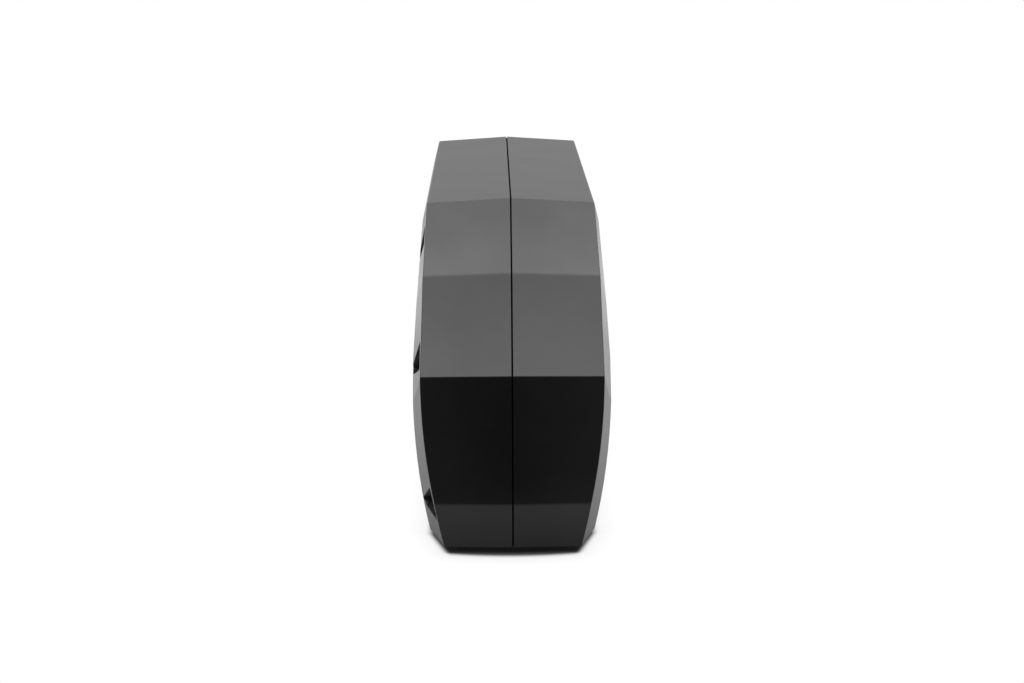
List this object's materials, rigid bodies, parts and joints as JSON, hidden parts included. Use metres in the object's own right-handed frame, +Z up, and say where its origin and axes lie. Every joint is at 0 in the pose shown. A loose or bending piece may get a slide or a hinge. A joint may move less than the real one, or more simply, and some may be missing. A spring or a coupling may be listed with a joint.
{
  "type": "electric bicycle battery",
  "caption": "Down-tube battery for an electric bicycle: a black faceted two-part case on a slide rail, with cell pack, power button, display and covered charge port.",
  "frame": {"origin": "centre of the outline in plan, on the surface that the slide rail's lips rest on", "axes": "+X across the thickness towards the right shell, -Y along the length towards the faceted nose, +Z up to the ridged top"},
  "size_m": [0.091, 0.358, 0.155],
  "materials": {
    "case_plastic": "fine satin grain, black",
    "seal_rubber": "matt",
    "black_steel": "black oxide",
    "brass": "machined",
    "rail_aluminium": "black anodised, extruded",
    "steel": "machined",
    "zinc_steel": "zinc plated",
    "cell_sleeve": "printed sleeve film over a steel can",
    "holder_plastic": "natural flame-retardant plastic",
    "nickel": "rolled sheet",
    "insulation": "pressed fibre sheet",
    "foam": "soft closed-cell foam",
    "board": "solder mask",
    "component_black": "moulded",
    "heat_spreader": "extruded",
    "connector_plastic": "natural nylon",
    "fuse_body": "moulded",
    "ribbon": "flexible film",
    "lead_red": "silicone insulation",
    "lead_black": "silicone insulation",
    "led_lens": "clear resin",
    "window_smoke": "polished, dark tinted",
    "button_rubber": "soft satin",
    "socket_plastic": "moulded",
    "contact_gold": "gold plated",
    "membrane": "felt"
  },
  "bodies": {
    "case": {"left_shell": "case_plastic", "right_shell": "case_plastic", "shell_seal": "seal_rubber", "case_screws": "black_steel", "threaded_inserts": "brass", "slide_rail": "rail_aluminium", "rail_screws": "zinc_steel", "lock_bush": "steel", "cells": "cell_sleeve", "cell_holder_left": "holder_plastic", "cell_holder_right": "holder_plastic", "nickel_links_left": "nickel", "nickel_links_right": "nickel", "insulation_sheet_left": "insulation", "insulation_sheet_right": "insulation", "foam_pads": "foam", "bms_board": "board", "bms_transistors": "component_black", "bms_heat_spreader": "heat_spreader", "bms_connector": "connector_plastic", "bms_screws": "zinc_steel", "main_fuse": "fuse_body", "balance_harness": "ribbon", "positive_lead": "lead_red", "negative_lead": "lead_black", "display_board": "board", "display_screws": "zinc_steel", "charge_leds": "led_lens", "display_window": "window_smoke", "button_switch": "component_black", "charge_socket": "socket_plastic", "charge_contacts": "contact_gold", "charge_leads": "lead_black", "cover_hinge_pin": "steel", "contact_block": "socket_plastic", "contact_clips": "contact_gold", "contact_seal": "seal_rubber", "vent_membrane": "membrane"},
    "port_cover": {"port_cover": "case_plastic"},
    "power_button": {"power_button": "button_rubber"}
  },
  "joints": [
    {"name": "cover_hinge", "type": "hinge", "parent": "case", "child": "port_cover", "pos_m": [-0.0434, 0.125, 0.0755], "axis": [0, 1, 0], "range_deg": [0, 105]},
    {"name": "button_press", "type": "slide", "parent": "case", "child": "power_button", "axis": [1, 0, 0], "range_m": [0, 0.0007], "stiffness_N_per_m": 400}
  ]
}
